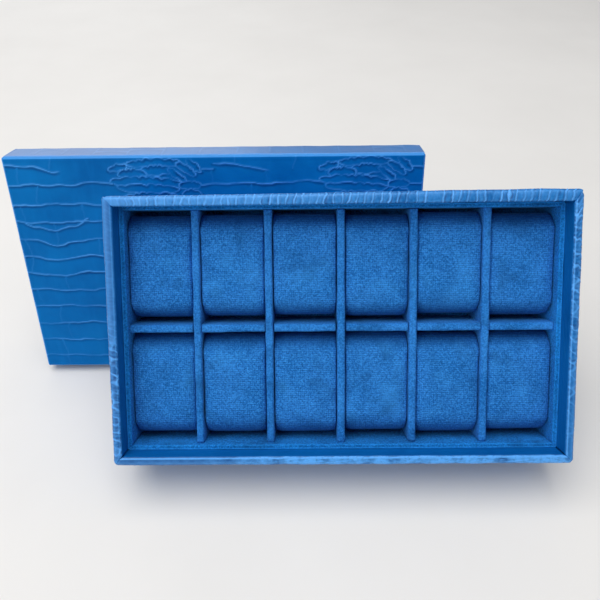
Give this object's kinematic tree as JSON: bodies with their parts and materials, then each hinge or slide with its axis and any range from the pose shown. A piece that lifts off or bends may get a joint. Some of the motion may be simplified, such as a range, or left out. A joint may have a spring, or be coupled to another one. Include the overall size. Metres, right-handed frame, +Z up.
{
  "type": "watch display tray",
  "caption": "Leather-wrapped display tray with suede dividers and lift-out watch pillows, leaning on its own lift-off lid, which stands behind it.",
  "frame": {"origin": "on the table, at the middle of the box that bounds the tray and the lid as they stand", "axes": "+X along the tray's long side, +Z up, +Y from the open side of the tray towards the lid behind it"},
  "size_m": [0.4334, 0.2178, 0.2021],
  "materials": {
    "embossed_leather": "satin",
    "wall_board": "matte",
    "base_felt": "matte",
    "liner_suede": "matte",
    "divider_suede": "matte",
    "pillow_suede": "matte",
    "pillow_foam": "matte"
  },
  "bodies": {
    "lid": {"lid_top_board": "wall_board", "lid_front_board": "wall_board", "lid_back_board": "wall_board", "lid_left_board": "wall_board", "lid_right_board": "wall_board", "lid_top_leather": "embossed_leather", "lid_front_leather": "embossed_leather", "lid_back_leather": "embossed_leather", "lid_left_leather": "embossed_leather", "lid_right_leather": "embossed_leather", "lid_lining": "liner_suede", "lid_collar_front_board": "liner_suede", "lid_collar_back_board": "liner_suede", "lid_collar_left_board": "liner_suede", "lid_collar_right_board": "liner_suede"},
    "tray": {"base_board": "wall_board", "front_board": "wall_board", "back_board": "wall_board", "left_board": "wall_board", "right_board": "wall_board", "base_cover": "base_felt", "front_leather": "embossed_leather", "back_leather": "embossed_leather", "left_leather": "embossed_leather", "right_leather": "embossed_leather", "liner_floor": "liner_suede", "liner_front_wall": "liner_suede", "liner_back_wall": "liner_suede", "liner_left_wall": "liner_suede", "liner_right_wall": "liner_suede", "row_divider": "divider_suede", "column_divider_1": "divider_suede", "column_divider_2": "divider_suede", "column_divider_3": "divider_suede", "column_divider_4": "divider_suede", "column_divider_5": "divider_suede"},
    "front_pillow_1": {"front_pillow_1_cover": "pillow_suede", "front_pillow_1_core": "pillow_foam"},
    "front_pillow_2": {"front_pillow_2_cover": "pillow_suede", "front_pillow_2_core": "pillow_foam"},
    "front_pillow_3": {"front_pillow_3_cover": "pillow_suede", "front_pillow_3_core": "pillow_foam"},
    "front_pillow_4": {"front_pillow_4_cover": "pillow_suede", "front_pillow_4_core": "pillow_foam"},
    "front_pillow_5": {"front_pillow_5_cover": "pillow_suede", "front_pillow_5_core": "pillow_foam"},
    "front_pillow_6": {"front_pillow_6_cover": "pillow_suede", "front_pillow_6_core": "pillow_foam"},
    "back_pillow_1": {"back_pillow_1_cover": "pillow_suede", "back_pillow_1_core": "pillow_foam"},
    "back_pillow_2": {"back_pillow_2_cover": "pillow_suede", "back_pillow_2_core": "pillow_foam"},
    "back_pillow_3": {"back_pillow_3_cover": "pillow_suede", "back_pillow_3_core": "pillow_foam"},
    "back_pillow_4": {"back_pillow_4_cover": "pillow_suede", "back_pillow_4_core": "pillow_foam"},
    "back_pillow_5": {"back_pillow_5_cover": "pillow_suede", "back_pillow_5_core": "pillow_foam"},
    "back_pillow_6": {"back_pillow_6_cover": "pillow_suede", "back_pillow_6_core": "pillow_foam"}
  },
  "joints": [
    {"name": "tray_lift", "type": "slide", "parent": "lid", "child": "tray", "axis": [0, 0, 1], "range_m": [0, 0.2]},
    {"name": "front_pillow_1_lift", "type": "slide", "parent": "tray", "child": "front_pillow_1", "axis": [0, -0.831, 0.5563], "range_m": [0, 0.07]},
    {"name": "front_pillow_2_lift", "type": "slide", "parent": "tray", "child": "front_pillow_2", "axis": [0, -0.831, 0.5563], "range_m": [0, 0.07]},
    {"name": "front_pillow_3_lift", "type": "slide", "parent": "tray", "child": "front_pillow_3", "axis": [0, -0.831, 0.5563], "range_m": [0, 0.07]},
    {"name": "front_pillow_4_lift", "type": "slide", "parent": "tray", "child": "front_pillow_4", "axis": [0, -0.831, 0.5563], "range_m": [0, 0.07]},
    {"name": "front_pillow_5_lift", "type": "slide", "parent": "tray", "child": "front_pillow_5", "axis": [0, -0.831, 0.5563], "range_m": [0, 0.07]},
    {"name": "front_pillow_6_lift", "type": "slide", "parent": "tray", "child": "front_pillow_6", "axis": [0, -0.831, 0.5563], "range_m": [0, 0.07]},
    {"name": "back_pillow_1_lift", "type": "slide", "parent": "tray", "child": "back_pillow_1", "axis": [0, -0.831, 0.5563], "range_m": [0, 0.07]},
    {"name": "back_pillow_2_lift", "type": "slide", "parent": "tray", "child": "back_pillow_2", "axis": [0, -0.831, 0.5563], "range_m": [0, 0.07]},
    {"name": "back_pillow_3_lift", "type": "slide", "parent": "tray", "child": "back_pillow_3", "axis": [0, -0.831, 0.5563], "range_m": [0, 0.07]},
    {"name": "back_pillow_4_lift", "type": "slide", "parent": "tray", "child": "back_pillow_4", "axis": [0, -0.831, 0.5563], "range_m": [0, 0.07]},
    {"name": "back_pillow_5_lift", "type": "slide", "parent": "tray", "child": "back_pillow_5", "axis": [0, -0.831, 0.5563], "range_m": [0, 0.07]},
    {"name": "back_pillow_6_lift", "type": "slide", "parent": "tray", "child": "back_pillow_6", "axis": [0, -0.831, 0.5563], "range_m": [0, 0.07]}
  ]
}
